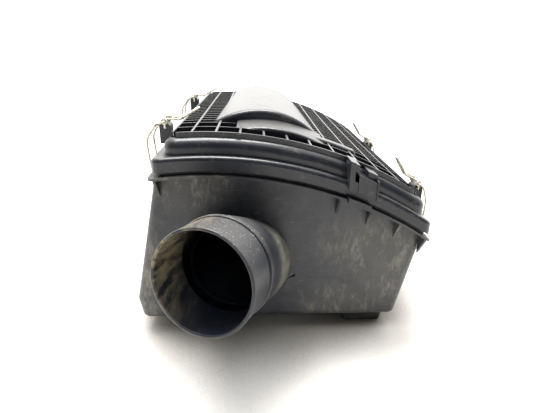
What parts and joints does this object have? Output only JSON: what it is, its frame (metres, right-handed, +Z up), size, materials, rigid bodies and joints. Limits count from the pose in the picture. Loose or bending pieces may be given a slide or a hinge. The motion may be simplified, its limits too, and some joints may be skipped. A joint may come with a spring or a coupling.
{
  "type": "air filter housing",
  "caption": "Ribbed, crowned air cleaner box with a lift-off lid held by wire clips, a slanted round inlet, an arched outlet duct and a pleated panel filter.",
  "frame": {"origin": "centre of the underside of the overall bounding box, in the plane the feet stand on", "axes": "+Z up, +Y from the inlet side to the outlet side, +X to the right seen from the inlet"},
  "size_m": [0.3311, 0.6436, 0.2617],
  "materials": {
    "tub_plastic": "moulded black polypropylene, dusty, lightly scuffed",
    "lid_plastic": "moulded black polypropylene, satin, greyed on the ribs",
    "duct_plastic": "moulded black polypropylene, dusty inside",
    "gasket_foam": "moulded polyurethane foam seal",
    "filter_paper": "resin-treated filter paper",
    "clip_wire": "zinc-plated spring wire, rusting at the bends",
    "foot_rubber": "black moulded rubber",
    "sleeve_steel": "zinc-plated steel"
  },
  "bodies": {
    "base": {"base_tub": "tub_plastic", "inlet_duct": "duct_plastic", "foot_left_front": "foot_rubber", "foot_left_rear": "foot_rubber", "foot_right_front": "foot_rubber", "foot_right_rear": "foot_rubber", "foot_sleeve_left_front": "sleeve_steel", "foot_sleeve_left_rear": "sleeve_steel", "foot_sleeve_right_front": "sleeve_steel", "foot_sleeve_right_rear": "sleeve_steel"},
    "lid": {"lid": "lid_plastic", "outlet_duct": "duct_plastic"},
    "filter": {"filter_frame": "gasket_foam", "filter_pleats": "filter_paper"},
    "clip_lever_left_front": {"clip_lever_left_front": "clip_wire"},
    "clip_bail_left_front": {"clip_bail_left_front": "clip_wire"},
    "clip_lever_left_rear": {"clip_lever_left_rear": "clip_wire"},
    "clip_bail_left_rear": {"clip_bail_left_rear": "clip_wire"},
    "clip_lever_right_front": {"clip_lever_right_front": "clip_wire"},
    "clip_bail_right_front": {"clip_bail_right_front": "clip_wire"},
    "clip_lever_right_rear": {"clip_lever_right_rear": "clip_wire"},
    "clip_bail_right_rear": {"clip_bail_right_rear": "clip_wire"}
  },
  "joints": [
    {"name": "lid_lift", "type": "slide", "parent": "base", "child": "lid", "axis": [0, 0, 1], "range_m": [0, 0.3]},
    {"name": "filter_lift", "type": "slide", "parent": "base", "child": "filter", "axis": [0, 0, 1], "range_m": [0, 0.15]},
    {"name": "lever_swing_left_front", "type": "hinge", "parent": "lid", "child": "clip_lever_left_front", "pos_m": [-0.1208, -0.13717, 0.24079], "axis": [0, -1, 0], "range_deg": [0, 140]},
    {"name": "bail_swing_left_front", "type": "hinge", "parent": "clip_lever_left_front", "child": "clip_bail_left_front", "pos_m": [-0.1208, -0.13717, 0.24779], "axis": [0, -1, 0], "range_deg": [-175, 0]},
    {"name": "lever_swing_left_rear", "type": "hinge", "parent": "lid", "child": "clip_lever_left_rear", "pos_m": [-0.1208, 0.07683, 0.24079], "axis": [0, -1, 0], "range_deg": [0, 140]},
    {"name": "bail_swing_left_rear", "type": "hinge", "parent": "clip_lever_left_rear", "child": "clip_bail_left_rear", "pos_m": [-0.1208, 0.07683, 0.24779], "axis": [0, -1, 0], "range_deg": [-175, 0]},
    {"name": "lever_swing_right_front", "type": "hinge", "parent": "lid", "child": "clip_lever_right_front", "pos_m": [0.1552, -0.13717, 0.17244], "axis": [0, 1, 0], "range_deg": [0, 140]},
    {"name": "bail_swing_right_front", "type": "hinge", "parent": "clip_lever_right_front", "child": "clip_bail_right_front", "pos_m": [0.1552, -0.13717, 0.17944], "axis": [0, 1, 0], "range_deg": [-175, 0]},
    {"name": "lever_swing_right_rear", "type": "hinge", "parent": "lid", "child": "clip_lever_right_rear", "pos_m": [0.1552, 0.07683, 0.17244], "axis": [0, 1, 0], "range_deg": [0, 140]},
    {"name": "bail_swing_right_rear", "type": "hinge", "parent": "clip_lever_right_rear", "child": "clip_bail_right_rear", "pos_m": [0.1552, 0.07683, 0.17944], "axis": [0, 1, 0], "range_deg": [-175, 0]}
  ],
  "couplings": [
    {"joint": "filter_lift", "follows": "lid_lift", "ratio": 0.5},
    {"joint": "bail_swing_left_front", "follows": "lever_swing_left_front", "ratio": -1.25},
    {"joint": "bail_swing_left_rear", "follows": "lever_swing_left_rear", "ratio": -1.25},
    {"joint": "bail_swing_right_front", "follows": "lever_swing_right_front", "ratio": -1.25},
    {"joint": "bail_swing_right_rear", "follows": "lever_swing_right_rear", "ratio": -1.25}
  ]
}
